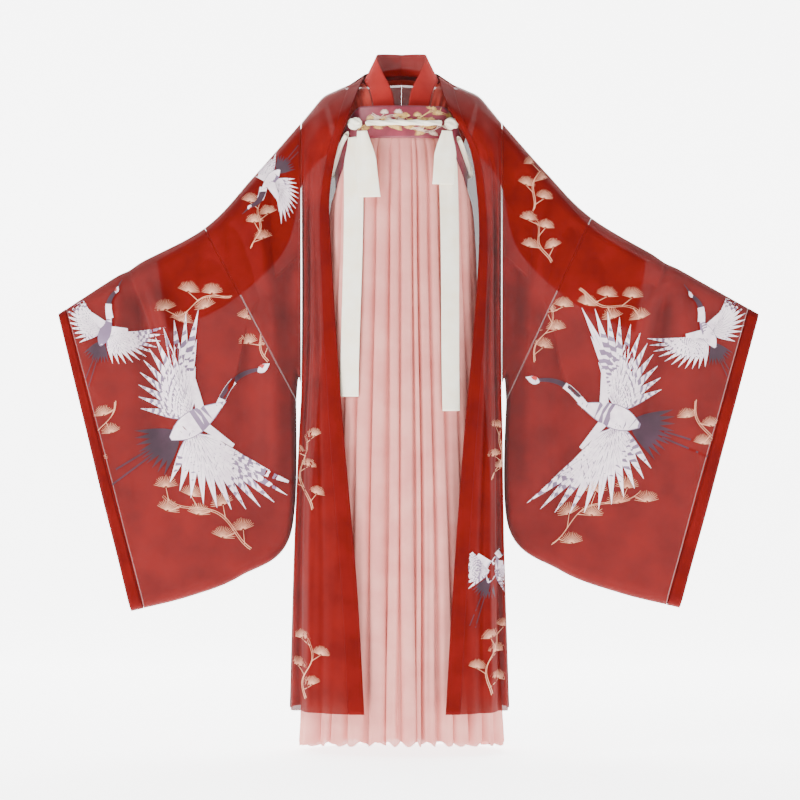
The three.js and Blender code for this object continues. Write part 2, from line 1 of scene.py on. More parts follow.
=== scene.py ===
import math
import bmesh
import bpy
import numpy as np
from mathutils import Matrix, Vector


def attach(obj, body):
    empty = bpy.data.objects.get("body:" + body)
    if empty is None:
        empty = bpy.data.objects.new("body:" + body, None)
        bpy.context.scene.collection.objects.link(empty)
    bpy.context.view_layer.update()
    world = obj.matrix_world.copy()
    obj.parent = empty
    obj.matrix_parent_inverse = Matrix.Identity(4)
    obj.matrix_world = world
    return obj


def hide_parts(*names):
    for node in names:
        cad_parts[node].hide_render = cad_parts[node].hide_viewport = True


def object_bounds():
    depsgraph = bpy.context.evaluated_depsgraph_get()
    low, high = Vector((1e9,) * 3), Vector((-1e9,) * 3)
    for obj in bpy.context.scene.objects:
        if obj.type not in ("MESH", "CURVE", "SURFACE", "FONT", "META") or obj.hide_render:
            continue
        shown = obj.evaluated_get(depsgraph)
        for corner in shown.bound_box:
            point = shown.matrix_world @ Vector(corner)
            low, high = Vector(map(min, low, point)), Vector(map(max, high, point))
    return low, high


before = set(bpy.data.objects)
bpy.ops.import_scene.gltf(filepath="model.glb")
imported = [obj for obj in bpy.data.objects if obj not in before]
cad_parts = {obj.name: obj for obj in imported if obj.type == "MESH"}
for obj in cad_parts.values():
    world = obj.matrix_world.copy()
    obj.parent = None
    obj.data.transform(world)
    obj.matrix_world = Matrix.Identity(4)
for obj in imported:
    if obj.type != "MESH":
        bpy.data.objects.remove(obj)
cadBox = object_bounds()
rng = np.random.default_rng(11)  # for the pines
print("frame loaded")

# A hanfu set as worn: sizes are in millimetres here, and meshes are made in metres.
# Right and left are the wearer's: right is at -X.
sides = {"right": -1, "left": 1}


# Shared maths.
def mix(a, b, t):
    return a + (b - a) * t


def ease(t):  # slow at both ends
    t = np.clip(t, 0, 1)
    return t * t * (3 - 2 * t)


def quarterRise(t):  # the rise of a quarter circle
    return np.sqrt(np.maximum(0, 1 - (1 - np.clip(t, 0, 1)) ** 2))


def bump(x, middle, half):  # a soft ridge of that half width
    return np.exp(-((x - middle) / half) ** 2)


# A smooth curve through one column of a table: a cubic between rows, with each row's slope taken between its
# neighbours.
def curveOf(columns, key, name):
    order = np.argsort(columns[key])
    k = np.array(columns[key], float)[order]
    v = np.array(columns[name], float)[order]
    last = len(k) - 1
    p, q = np.maximum(np.arange(last + 1) - 1, 0), np.minimum(np.arange(last + 1) + 1, last)
    slope = (v[q] - v[p]) / (k[q] - k[p])

    def at(x):
        x = np.clip(x, k[0], k[-1])
        i = np.clip(np.searchsorted(k, x, side="right") - 1, 0, last - 1)
        h = k[i + 1] - k[i]
        t = (x - k[i]) / h
        return ((2 * t**3 - 3 * t**2 + 1) * v[i] + (t**3 - 2 * t**2 + t) * h * slope[i]
                + (3 * t**2 - 2 * t**3) * v[i + 1] + (t**3 - t**2) * h * slope[i + 1])
    return at


# Two grids that hold u and v at each crossing: v runs down the rows and u along them.
def gridOf(us, vs):
    return np.meshgrid(np.asarray(us, float), np.asarray(vs, float))


# Materials.
# A hex sRGB colour as linear light: c / 12.92 when dark, else ((c + 0.055) / 1.055) ^ 2.4.
def linearOf(hexColour):
    values = [int(hexColour[i:i + 2], 16) / 255 for i in (1, 3, 5)]
    return tuple(c / 12.92 if c < 0.04045 else ((c + 0.055) / 1.055) ** 2.4 for c in values) + (1.0,)


# One shader node: its sockets and settings by name, and its links from other sockets.
def addNode(tree, kind, settings=None, links=None):
    node = tree.nodes.new(kind)
    for key, value in (settings or {}).items():
        if isinstance(key, int) or key in node.inputs:
            node.inputs[key].default_value = value
        else:
            setattr(node, key, value)
    for key, source in (links or {}).items():
        tree.links.new(source, node.inputs[key])
    return node


# Woven cloth: two crossed sets of threads in the UV map, which is in metres, and a slow change of colour.
def clothMaterial(name, colour, dark, settings, threadMm=0.9, bumpHeight=0.06, noiseMm=60):
    material = bpy.data.materials.new(name)
    material.use_nodes = True
    tree = material.node_tree
    shader = tree.nodes["Principled BSDF"]
    where = addNode(tree, "ShaderNodeUVMap")
    place = addNode(tree, "ShaderNodeTexCoord")
    slow = addNode(tree, "ShaderNodeTexNoise", {"Scale": 1000 / noiseMm, "Detail": 4.0},
                   {"Vector": place.outputs["Object"]})
    tone = addNode(tree, "ShaderNodeValToRGB", links={"Fac": slow.outputs["Fac"]})
    tone.color_ramp.elements[0].position = 0.35
    tone.color_ramp.elements[0].color = linearOf(dark)
    tone.color_ramp.elements[1].position = 0.65
    tone.color_ramp.elements[1].color = linearOf(colour)
    tree.links.new(tone.outputs["Color"], shader.inputs["Base Color"])
    threads = []
    for direction in ("X", "Y"):
        wave = addNode(tree, "ShaderNodeTexWave",
                       {"bands_direction": direction, "Scale": 1000 / threadMm / 20 * math.pi,
                        "Distortion": 1.2, "Detail": 1.0}, {"Vector": where.outputs["UV"]})
        threads.append(wave.outputs["Fac"])
    weave = addNode(tree, "ShaderNodeMath", {"operation": "ADD"}, {0: threads[0], 1: threads[1]})
    grain = addNode(tree, "ShaderNodeBump", {"Strength": bumpHeight, "Distance": 0.0004},
                    {"Height": weave.outputs[0]})
    tree.links.new(grain.outputs["Normal"], shader.inputs["Normal"])
    for key, value in settings.items():
        shader.inputs[key].default_value = value
    return material


# Polyester chiffon is a thin open plain weave: matt, with a soft glow at its edges, and seen through.
sheer = {"Roughness": 0.85, "Sheen Weight": 0.03, "Sheen Roughness": 0.5, "Specular IOR Level": 0.08}
robeCloth = clothMaterial("robe_chiffon", "#6c0d09", "#5c0906", {**sheer, "Alpha": 0.93})
trimCloth = clothMaterial("robe_chiffon_double", "#680c09", "#590907", {**sheer, "Alpha": 0.96})
underCloth = clothMaterial("undertop_chiffon", "#b84438", "#a8382f", {**sheer, "Alpha": 0.88})
underTrim = clothMaterial("undertop_chiffon_double", "#ad2f2b", "#992622", {**sheer, "Alpha": 0.92})
skirtCloth = clothMaterial("skirt_chiffon", "#e59a90", "#d98a82", {**sheer, "Alpha": 0.93})
liningCloth = clothMaterial("skirt_lining_taffeta", "#eca59a", "#e2958b",
                            {"Roughness": 0.7, "Specular IOR Level": 0.25})
# Satin on the band and the ribbons has a smooth face with a soft shine.
bandCloth = clothMaterial("band_satin", "#84263a", "#6f1c2e", {"Roughness": 0.45, "Sheen Weight": 0.2},
                          noiseMm=25)
ribbonCloth = clothMaterial("ribbon_satin", "#fffbe9", "#fbf0d6", {"Roughness": 0.5, "Sheen Weight": 0.3},
                            noiseMm=40)
# Print on cloth is flat ink, and embroidery is raised thread.
inkWhite = clothMaterial("ink_white", "#f4e6ec", "#e3d0dc", {"Roughness": 0.8}, noiseMm=12)
inkGrey = clothMaterial("ink_violet_grey", "#85708a", "#6d5872", {"Roughness": 0.8})
inkDark = clothMaterial("ink_dark_plum", "#3c2030", "#2b1522", {"Roughness": 0.8})
inkRed = clothMaterial("ink_red", "#c22a26", "#b02020", {"Roughness": 0.8})
inkGold = clothMaterial("ink_pink_gold", "#e2a886", "#d08a6c", {"Roughness": 0.75})
threadGold = clothMaterial("embroidery_gold_thread", "#e3bd77", "#c79545",
                           {"Roughness": 0.4, "Sheen Weight": 0.4}, noiseMm=6)
threadWhite = clothMaterial("embroidery_pale_thread", "#f1dccd", "#dfc0ad", {"Roughness": 0.45}, noiseMm=6)
print("materials made")


# Making pieces.
# A mesh from points in millimetres, smooth all over, with its UV map in metres.
def meshPiece(name, points, faces, material, uv=None):
    mesh = bpy.data.meshes.new(name)
    mesh.from_pydata(np.asarray(points) * 0.001, [], faces)
    if uv is not None:
        layer = mesh.uv_layers.new(name="flat")
        loops = np.empty(len(mesh.loops), np.int32)
        mesh.loops.foreach_get("vertex_index", loops)
        layer.data.foreach_set("uv", (uv[loops] * 0.001).ravel())
    mesh.polygons.foreach_set("use_smooth", np.ones(len(mesh.polygons), bool))
    piece = bpy.data.objects.new(name, mesh)
    bpy.context.scene.collection.objects.link(piece)
    mesh.materials.append(material)
    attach(piece, "root")
    return piece


# A grid of points, rows by columns, as one sheet. Its flat size is the longest row by the longest column, and
# its area the sum of its triangles. A piece held "rolled" is part of the ribbon whose tail is the declared
# sheet.
def clothPiece(name, grid, material, nodes, held="hung", closed=False, thick=0.0):
    rows, columns = grid.shape[:2]
    along = np.linalg.norm(np.diff(grid, axis=0), axis=2).cumsum(axis=0)
    ring = np.concatenate([grid, grid[:, :1]], axis=1) if closed else grid
    across = np.linalg.norm(np.diff(ring, axis=1), axis=2).cumsum(axis=1)
    v = np.vstack([np.zeros((1, columns)), along])
    u = np.hstack([np.zeros((rows, 1)), across])[:, :columns]
    spans = columns if closed else columns - 1
    j, i = np.meshgrid(np.arange(rows - 1), np.arange(spans), indexing="ij")
    nextI = (i + 1) % columns
    here, below = j * columns, (j + 1) * columns
    faces = np.stack([here + i, here + nextI, below + nextI, below + i], -1)
    uv = np.stack([u.ravel(), v.ravel()], -1)
    piece = meshPiece(name, grid.reshape(-1, 3), faces.reshape(-1, 4).tolist(), material, uv)
    if thick:
        wall = piece.modifiers.new("wall", "SOLIDIFY")
        wall.thickness = thick * 0.001
        wall.offset = 0
    if nodes:
        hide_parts(*nodes)
    if held == "rolled":
        return piece
    a, b, c, d = ring[:-1, :-1], ring[:-1, 1:], ring[1:, :-1], ring[1:, 1:]
    doubled = np.linalg.norm(np.cross(b - a, c - a), axis=2) + np.linalg.norm(np.cross(b - d, c - d), axis=2)
    area = doubled.sum() / 2e6
    flat = (across[:, -1].max() / 1000, along[-1].max() / 1000)
    cuts.append((name, round(flat[0], 3), round(flat[1], 3), round(area, 4)))
    return piece


cuts = []

# Skirt, lining and band.
skirt = {"top": -107, "hem": -1341, "frontRise": 12, "liningHem": -1302, "liningInset": 4, "pleats": 30,
         "perPleat": 22, "rows": 110}
skirtForm = {
    "z": [-1345, -1000, -700, -330, -230, -142, -107],
    "a": [216, 198, 179, 156, 152, 144, 131],
    "b": [163, 150, 138, 117, 112, 108, 101],
    "pleat": [26, 22, 18, 13, 10, 6, 2],
}
# The band's edges, its drop towards the back, and its half width and half depth.
band = {"top": -45, "bottom": -110, "sideDrop": 98, "a": 135, "b": 105}
# The creases that show in the open front, in degrees from straight ahead. The other pleats are spread evenly.
frontCreases = [-44, -32.5, -21, -9.2, -1.2, 8.6, 12.4, 21.6, 31, 42]
halfWidth, halfDepth, pleatDepth = (curveOf(skirtForm, "z", name) for name in ("a", "b", "pleat"))


def bandDrop(degrees):  # the band hangs lower at the sides and the back
    away = np.abs(np.mod(degrees + 180, 360) - 180)
    return band["sideDrop"] * ease((away - 36) / 50)


# Rings of an ellipse that grows to the hem: x = (half width - inward) sin(angle), y = -(half depth - inward)
# cos(angle). Inward is the pleat's depth times 1 - crest, and crest = 1 - |2t - 1| ^ 3.2 is round, with narrow
# creases between.
def skirtGrid(topZ, hemZ, inset, pleatShare, perPleat, rows):
    first, last = frontCreases[0], frontCreases[-1]
    rest = np.linspace(last, first + 360, skirt["pleats"] - len(frontCreases) + 2)[1:]
    edges = np.concatenate([frontCreases, rest])
    pleats = len(edges) - 1
    t = np.arange(perPleat) / perPleat
    random = np.random.default_rng(5)  # the lining follows the same pleats
    degrees = (edges[:-1, None] + np.diff(edges)[:, None] * t).ravel()
    lean = np.repeat(random.uniform(-0.25, 0.25, pleats), perPleat)
    size = np.repeat(random.uniform(0.75, 1.2, pleats), perPleat)
    sway = np.repeat(random.uniform(0, 6.28, pleats), perPleat)
    tt = np.tile(t, pleats)
    v = np.linspace(0, 1, rows)[:, None]
    shifted = np.clip(tt + lean * v * np.sin(np.pi * tt) * 0.5, 0, 1)
    crest = 1 - np.abs(2 * shifted - 1) ** 3.2
    crest = crest - 0.22 * v * np.sin(np.pi * tt) ** 2 * (1 + np.sin(sway + 5 * v))
    level = mix(topZ, hemZ, v) + 0 * degrees
    angle = np.radians(degrees + 0.9 * np.sin(sway + 7 * v) * v)
    z = level + mix(-bandDrop(degrees), skirt["frontRise"] * np.cos(angle), v)
    z = z + 5 * ease((v - 0.9) / 0.1) * np.sin(sway * 3 + tt * 6.28)
    inward = inset + pleatDepth(level) * pleatShare * size * (1 - crest)
    x, y = (halfWidth(level) - inward) * np.sin(angle), -(halfDepth(level) - inward) * np.cos(angle)
    return np.stack([x, y, z], -1)


outerGrid = skirtGrid(skirt["top"], skirt["hem"], 0, 1.0, skirt["perPleat"], skirt["rows"])
clothPiece("skirt_outer_cloth", outerGrid, skirtCloth, ["skirt_outer"], "gathered", True)
liningGrid = skirtGrid(skirt["top"], skirt["liningHem"], skirt["liningInset"], 0.9, 12, 60)
clothPiece("skirt_lining_cloth", liningGrid, liningCloth, ["skirt_lining"], "gathered", True)
u, v = gridOf(np.linspace(0, 360, 240, endpoint=False), np.linspace(0, 1, 14))
angle = np.radians(u)
swell = 1.2 * np.sin(np.pi * v)
bandGrid = np.stack([(band["a"] + swell - 1) * np.sin(angle), -(band["b"] + swell - 1) * np.cos(angle),
                     mix(band["top"], band["bottom"], v) - bandDrop(u)], -1)
bandPiece = clothPiece("skirt_band_cloth", bandGrid, bandCloth, ["skirt_band"], "stretched", True,
                       1.6)
print("skirt made")

# Robe body.
# The free edge of each front, the side seam, the centre back and the shoulder seam, by height or width.
edgeTable = {
    "z": [26, -12, -52, -125, -225, -330, -530, -720, -1000, -1268],
    "right": [76, 89, 103, 129, 146, 143, 130, 115, 90, 74],
    "left": [76, 83, 98, 137, 154, 157, 143, 125, 104, 88],
    "y": [8, -56, -92, -72, -54, -60, -94, -124, -150, -170],
}
sideTable = {"z": [-72, -600, -915, -1268], "right": [205, 205, 219, 229], "left": [205, 205, 210, 221]}
backTable = {"z": [12, -60, -150, -600, -1268], "y": [86, 108, 127, 152, 184]}
shoulderTable = {"x": [76, 97, 133, 160, 184, 205], "z": [26, 12, -4, -18, -46, -72]}
# Each sleeve's top and lower edge from the armhole (s 0) by the slanted seam (s 1) to the cuff (s 2). Arm is
# the sleeve's half depth round the arm.
topTable = {
    "right": {"s": [0, 0.5, 1, 1.5, 2], "x": [205, 304, 403, 557, 702], "z": [-72, -184, -287, -370, -463],
              "arm": [38, 37, 35, 27, 15]},
    "left": {"s": [0, 0.5, 1, 1.5, 2], "x": [205, 296, 389, 540, 731], "z": [-72, -174, -266, -355, -463],
             "arm": [38, 37, 35, 27, 15]},
}
lowTable = {
    "right": {"s": [0, 1, 1.25, 1.5, 1.75, 2], "x": [205, 215, 227, 330, 436, 553],
              "z": [-600, -640, -915, -1000, -1042, -1071]},
    "left": {"s": [0, 1, 1.25, 1.5, 1.75, 2], "x": [205, 214, 219, 325, 446, 569],
             "z": [-600, -640, -900, -988, -1034, -1064]},
}
hemZ = -1268
slack = 20  # half depth of a hanging sleeve bag
shoulderZ = curveOf(shoulderTable, "x", "z")
backDepth = curveOf(backTable, "z", "y")
# Folds of the fronts: place across the panel, half width, depth, and where each fades in down the panel.
frontFolds = {
    "right": [(0.93, 0.05, -16, 0.0), (0.80, 0.07, 10, 0.02), (0.66, 0.05, -11, 0.06), (0.50, 0.05, 6, 0.1),
              (0.36, 0.04, -5, 0.25)],
    "left": [(0.92, 0.05, -15, 0.0), (0.78, 0.06, 11, 0.02), (0.64, 0.05, -14, 0.04), (0.47, 0.05, 7, 0.1),
             (0.34, 0.04, -7, 0.2)],
}


# A sleeve's half depth: arm near the top edge, easing to the slack of the hanging bag, and rounded off at both
# edges by quarter circles.
def sleeveHalf(arm, down, up):
    return mix(arm, slack, ease((down - arm) / 260)) * quarterRise(down / arm) * quarterRise(up / 28)


# A body panel's outer edge: the armhole as deep as the sleeve's root down to 528 mm, then the side seam at y 0.
def outerEdge(name, v, front):
    z = mix(-72, hemZ, v)
    down = -72 - z
    x = curveOf(sideTable, "z", name)(z)
    return x, np.where(down < 528, sleeveHalf(38, down, 528 - down) * front, 0), z


def bend(w, v):  # a panel's curve round the body: shares outward and away from the side
    sweep = mix(1.05, np.pi / 2, ease((v - 0.25) / 0.3))
    return np.sin(w * sweep) / np.sin(sweep), (np.cos(w * sweep) - np.cos(sweep)) / (1 - np.cos(sweep))


# A front: from the free edge (w 0) to the outer edge (w 1), curved by bend, less the folds, which are bumps
# in w.
def frontPoint(name, w, v):
    edgeZ = mix(26, hemZ, v)
    ex, ey = curveOf(edgeTable, "z", name)(edgeZ), curveOf(edgeTable, "z", "y")(edgeZ)
    ox, oy, oz = outerEdge(name, v, -1)
    out, forward = bend(w, v)
    lift = shoulderZ(mix(76, 205, out)) - mix(26, -72, w)
    z = mix(edgeZ, oz, w) + lift * np.exp(-9 * v)
    fold = sum(depth * bump(w + 0.02 * np.sin(7 * v + middle * 9), middle, half) * ease((v - start) / 0.18)
               for middle, half, depth, start in frontFolds[name])
    fold = fold * (0.45 + 0.55 * ease((v - 0.1) / 0.5)) * ease(w / 0.3) * ease((1 - w) / 0.05)
    tremble = 1.2 * np.sin(26 * v + 9 * w) * ease(v / 0.2) * np.sin(np.pi * w)
    x = sides[name] * (mix(ex, ox, out) + 0.3 * fold * out)
    return np.stack([x, mix(oy, ey, forward) - fold - tremble, z], -1)


# The share of a front that its 30.2 mm collar band takes at each height.
def collarShare(name, v):
    a, b = frontPoint(name, np.zeros_like(v), v), frontPoint(name, np.ones_like(v), v)
    return np.minimum(0.45, 30.2 / np.linalg.norm(a - b, axis=-1))


# The neck seam of the back: a quarter ellipse from the centre back to the shoulder.
def backNeck(out):
    angle = out * np.pi / 2
    return np.stack([115 * np.sin(angle), mix(6, 86, np.cos(angle)), mix(12, 0, out)], -1)


# A back: a bent section at each height, plus what moves its top edge onto the neck and shoulder seams, which
# fades by e ^ (-11 v), and soft folds as a sine across.
def backPoint(name, w, v):
    def section(down):
        z = mix(12, hemZ - 8, down)
        ox, oy, oz = outerEdge(name, down, 1)
        out, away = bend(w, down)
        return np.stack([ox * out, mix(oy, backDepth(z), away), mix(z, oz, w)], -1)
    share = 0.42
    out = np.clip((w - share) / (1 - share), 0, 1)
    shoulderX = mix(115, 205, out)
    shoulder = np.stack([shoulderX, mix(6, 0, out), shoulderZ(shoulderX)], -1)
    top = np.where((w < share)[..., None], backNeck(np.clip(w / share, 0, 1)), shoulder)
    point = section(v) + (top - section(0 * v)) * np.exp(-11 * v)[..., None]
    folds = 7 * np.sin(2 * np.pi * (3 * w + 0.1 * np.sin(5 * v))) * np.sin(np.pi * w) * ease((v - 0.12) / 0.5)
    return np.stack([sides[name] * point[..., 0], point[..., 1] + folds, point[..., 2]], -1)


robeFronts = {}
for name in sides:
    u, v = gridOf(np.linspace(0, 1, 130), np.linspace(0, 1, 190))
    seam = collarShare(name, v)
    panel = frontPoint(name, mix(seam + 0.004, 0.996, u), v)
    robeFronts[name] = clothPiece(f"robe_front_{name}_cloth", panel, robeCloth,
                                  [f"robe_front_{name}"])
    u, v = gridOf(np.linspace(0, 1, 16), np.linspace(0.0015, 1, 190))
    strip = frontPoint(name, u * (collarShare(name, v) + 0.004), v)
    strip[..., 1] -= 0.8
    clothPiece(f"robe_collar_front_{name}_cloth", strip, trimCloth, [f"robe_collar_front_{name}"],
               thick=1.0)
    u, v = gridOf(np.linspace(0.0005, 0.996, 130), np.linspace(0.002, 1, 150))
    clothPiece(f"robe_back_{name}_cloth", backPoint(name, u, v), robeCloth,
               [f"robe_back_{name}"])
u, v = gridOf(np.linspace(-0.985, 0.985, 90), np.linspace(0, 1, 12))
out = np.abs(u)
sewn = backNeck(out)
free = np.stack([76 * np.sin(out * np.pi / 2), mix(8, 74, np.cos(out * np.pi / 2)), mix(46, 26, out)], -1)
neckGrid = mix(sewn, free, mix(0.02, 1, v)[..., None])
neckGrid[..., 0] *= np.sign(u)
neckGrid[..., 2] += 1
clothPiece("robe_collar_neck_cloth", neckGrid, trimCloth, ["robe_collar_neck"], "stretched",
           thick=1.0)
print("robe body made")

# Sleeves.
# Folds on a sleeve, in its front view: start x and z, end x and z, half width and depth.
sleeveFolds = [
    (545, -395, 470, -800, 20, -11), (575, -395, 590, -640, 14, 8), (520, -385, 440, -620, 16, 8),
    (330, -480, 300, -960, 26, -8), (262, -420, 262, -900, 20, 10), (400, -330, 330, -560, 16, -6),
    (640, -460, 585, -980, 22, 5), (500, -400, 395, -900, 24, 5), (545, -392, 520, -560, 9, -7),
    (300, -220, 250, -520, 16, 7), (350, -260, 290, -520, 14, -6), (255, -150, 225, -560, 14, -9),
]
sleeveFoldGain = 1.8


# A sleeve: from its top edge (w 0) down its front to the lower edge (w 0.5) and up its back (w 1), as half its
# depth plus folds, which are bumps round slanted lines, and less the gathers pinched at the forearm.
def sleevePoint(name, s, w):
    tops, lows = topTable[name], lowTable[name]
    tx, tz, arm = (curveOf(tops, "s", key)(s) for key in ("x", "z", "arm"))
    bx, bz = (curveOf(lows, "s", key)(s) for key in ("x", "z"))
    t = 1 - np.abs(1 - 2 * w)
    x, z = mix(tx, bx, t), mix(tz, bz, t)
    length = np.hypot(bx - tx, bz - tz)
    half = sleeveHalf(arm, t * length, (1 - t) * length)
    fold = 0
    for x0, z0, x1, z1, width, depth in sleeveFolds:
        share = np.clip((z - z0) / (z1 - z0), 0, 1)
        fade = ease((z0 - z) / 60) * ease((z - z1) / 160)
        fold = fold + sleeveFoldGain * depth * fade * bump(x, mix(x0, x1, share), width * (1 + share))
    front = w <= 0.5
    ripple = 1.6 * np.sin(x / 17 + z / 90) * ease(t / 0.3)
    shape = (fold * np.where(front, 1, 0.6) + ripple) * np.minimum(1, half / slack)
    pull = 7 * bump(s, 1.5, 0.05) * bump(t, 0.03, 0.07)  # gathers pinched at the forearm
    away = half + shape - pull
    arm = (s < 1.5) & (t < 0.5)  # the under-top's sleeve lies inside here
    away = np.where(arm, np.maximum(away, np.minimum(half, 31)), away)
    y = away * np.where(front, -1, 1)
    y = np.where((w == 0) | (w == 0.5), 0, y)
    return np.stack([sides[name] * (x + 1.05 * (1 - np.clip(s, 0, 1))), y, z - 0.6 * pull], -1)


aroundSleeve = np.linspace(0, 1, 160) ** 1.35
around = np.concatenate([aroundSleeve / 2, 1 - aroundSleeve[1:-1][::-1] / 2])
cuffShare = 18 / 340
lowerSleeves = {}
upperSleeves = {}
for name in sides:
    w, s = gridOf(around, np.linspace(0.004, 0.998, 70))
    upperSleeves[name] = clothPiece(f"sleeve_upper_{name}_cloth", sleevePoint(name, s, w), robeCloth,
                                    [f"sleeve_upper_{name}"], closed=True)
    w, s = gridOf(around, np.linspace(1.002, 2 - cuffShare - 0.002, 120))
    lowerSleeves[name] = clothPiece(f"sleeve_lower_{name}_cloth", sleevePoint(name, s, w), robeCloth,
                                    [f"sleeve_lower_{name}"], closed=True)
    w, s = gridOf(around, np.linspace(2 - cuffShare + 0.001, 2, 6))
    clothPiece(f"sleeve_cuff_{name}_cloth", sleevePoint(name, s, w), trimCloth,
               [f"sleeve_cuff_{name}"], closed=True, thick=0.8)
print("sleeves made")

# Under-top.
collarTable = {
    "s": [0, 0.16, 0.3, 0.5, 0.75, 1], "freeX": [0, 38, 51, 40, 17, 5], "freeY": [62, 50, 12, -34, -76, -88],
    "freeZ": [74, 74, 66, 32, -24, -130], "sewnX": [0, 48, 75, 66, 57, 46], "sewnY": [68, 54, 8, -42, -74, -80],
    "sewnZ": [31, 26, 17, -4, -42, -130],
}
bodyTable = {"z": [20, -45, -120, -420], "a": [124, 126, 112, 118], "b": [70, 92, 86, 90]}
underSleeve = {
    "s": [0, 0.25, 0.5, 0.75, 1], "half": [24, 25, 24, 21, 15],
    "topX": [152, 200, 290, 392, 500], "topZ": [-34, -78, -180, -288, -354],
    "lowX": [130, 200, 238, 352, 478], "lowZ": [-115, -190, -330, -440, -500],
}
collarAt = {key: curveOf(collarTable, "s", key) for key in collarTable if key != "s"}
sleeveAt = {key: curveOf(underSleeve, "s", key) for key in underSleeve if key != "s"}
u, v = gridOf(np.linspace(-1, 1, 220), np.linspace(0, 1, 12))
s = np.abs(u)
collarGrid = np.stack([np.sign(u) * mix(collarAt["sewnX"](s), collarAt["freeX"](s), v),
                       mix(collarAt["sewnY"](s), collarAt["freeY"](s), v),
                       mix(collarAt["sewnZ"](s), collarAt["freeZ"](s), v)], -1)
clothPiece("undertop_collar_cloth", collarGrid, underTrim, ["undertop_collar"], "stretched",
           thick=1.0)


# The under-top's outer edge: round the armhole for the first 0.22 of its height, then down the side seam.
def underSide(v):
    t = v / 0.22
    z = mix(-116, -420, (v - 0.22) / 0.78)
    low = v >= 0.22
    return (np.where(low, curveOf(bodyTable, "z", "a")(z), mix(150, 127, t)),
            np.where(low, 0, 24 * np.sin(np.pi * np.minimum(t, 1))), np.where(low, z, mix(-35, -116, t)))


for name, sign in sides.items():
    u, v = gridOf(np.linspace(0, 1, 70), np.linspace(0, 1, 80))
    s = mix(0.33, 1, np.clip(v / 0.3, 0, 1))
    low = np.clip((v - 0.3) / 0.7, 0, 1)
    ox, oy, oz = underSide(v)
    ix = mix(collarAt["sewnX"](s) + 1.5, 6, low)
    iy = mix(collarAt["sewnY"](s), -88, low)
    iz = mix(collarAt["sewnZ"](s) - 4, -420, low)
    angle = u * np.pi / 2
    pleats = 1.6 * np.sin(u * 60) * bump(v, 0.2, 0.12) * ease(u / 0.1) * ease((0.6 - u) / 0.2)
    frontGrid = np.stack([sign * mix(ix, ox, np.sin(angle)), mix(-oy - 1.05, iy, np.cos(angle)) - pleats,
                          mix(iz, oz, u)], -1)
    clothPiece(f"undertop_front_{name}_cloth", frontGrid, underCloth,
               [f"undertop_front_{name}"])

    def backSection(down):
        z = mix(28, -420, down)
        sx, sy, sz = underSide(down)
        depth = mix(70, curveOf(bodyTable, "z", "b")(z), ease(down / 0.3))
        return np.stack([sx * np.sin(angle), mix(sy + 1.05, depth, np.cos(angle)), mix(z, sz, u)], -1)
    s = np.clip(0.3 * u / 0.5, 0, 0.3)
    out = np.clip((u - 0.5) / 0.5, 0, 1)
    neck = np.stack([collarAt["sewnX"](s), collarAt["sewnY"](s) + 1.5, collarAt["sewnZ"](s) - 2], -1)
    shoulder = np.stack([mix(75, 150, out), mix(8, 0, out), mix(11, -35, out)], -1)
    top = np.where((u < 0.5)[..., None], neck, shoulder)
    backGrid = backSection(v) + (top - backSection(0 * v)) * np.exp(-9 * v)[..., None]
    backGrid[..., 0] = sign * (backGrid[..., 0] + 0.15)
    clothPiece(f"undertop_back_{name}_cloth", backGrid[1:], underCloth,
               [f"undertop_back_{name}"])
    ring = np.concatenate([np.linspace(0, 0.5, 50), np.linspace(0.5, 1, 50)[1:-1]])
    w, s = gridOf(ring, np.linspace(0.03, 1, 50))
    t = 1 - np.abs(1 - 2 * w)
    half = sleeveAt["half"](s) * quarterRise(t / 0.3) * quarterRise((1 - t) / 0.3) * np.where(w > 0.5, 1, -1)
    ripple = 1.2 * np.sin(s * 30 + t * 5) * (abs(half) > 6)
    underGrid = np.stack([sign * mix(sleeveAt["topX"](s), sleeveAt["lowX"](s), t), half + ripple,
                          mix(sleeveAt["topZ"](s), sleeveAt["lowZ"](s), t)], -1)
    clothPiece(f"undertop_sleeve_{name}_cloth", underGrid, underCloth,
               [f"undertop_sleeve_{name}"], closed=True)
print("under-top made")

# Ribbon ties.
tie = {"height": -80, "stand": 8, "radius": 6}


# A point on the skirt's or band's ellipse, stood off by so much: y = -b sqrt(1 - (x / a)^2).
def onSkirt(x, z, stand):
    a = np.maximum(halfWidth(z), band["a"] + 4) + stand
    b = np.maximum(halfDepth(z), band["b"] + 4) + stand
    return np.stack([x, -b * np.sqrt(np.maximum(0, 1 - (x / a) ** 2)), z], -1)


# A rolled ribbon round the band: a section with three soft lobes, radius (0.82 + 0.16 cos 3u), that turns as it
# goes.
def twistedRoll(fromDegrees, toDegrees, turns):
    u, v = gridOf(np.linspace(0, 2 * np.pi, 28, endpoint=False), np.linspace(0, 1, 160))
    degrees = mix(fromDegrees, toDegrees, v)
    angle = np.radians(degrees)
    radius = tie["radius"] * (0.82 + 0.16 * np.cos(3 * u + turns * 2 * np.pi * v) + 0.06 * np.sin(40 * v))
    outward = radius * np.cos(u)
    a, b = band["a"] + tie["stand"] + outward, band["b"] + tie["stand"] + outward
    z = tie["height"] - bandDrop(degrees) + radius * np.sin(u)
    return np.stack([a * np.sin(angle), -b * np.cos(angle), z], -1)


rolls = {"tie_roll_front": (-29.5, 33.5, 3.5), "tie_roll_back": (54, 309.5, 9)}
rolled = {"right": [], "left": []}
for (node, (start, end, turns)), name in zip(rolls.items(), rolled):
    rolled[name].append(clothPiece(node + "_cloth", twistedRoll(start, end, turns), ribbonCloth,
                                   [node], "rolled", True))
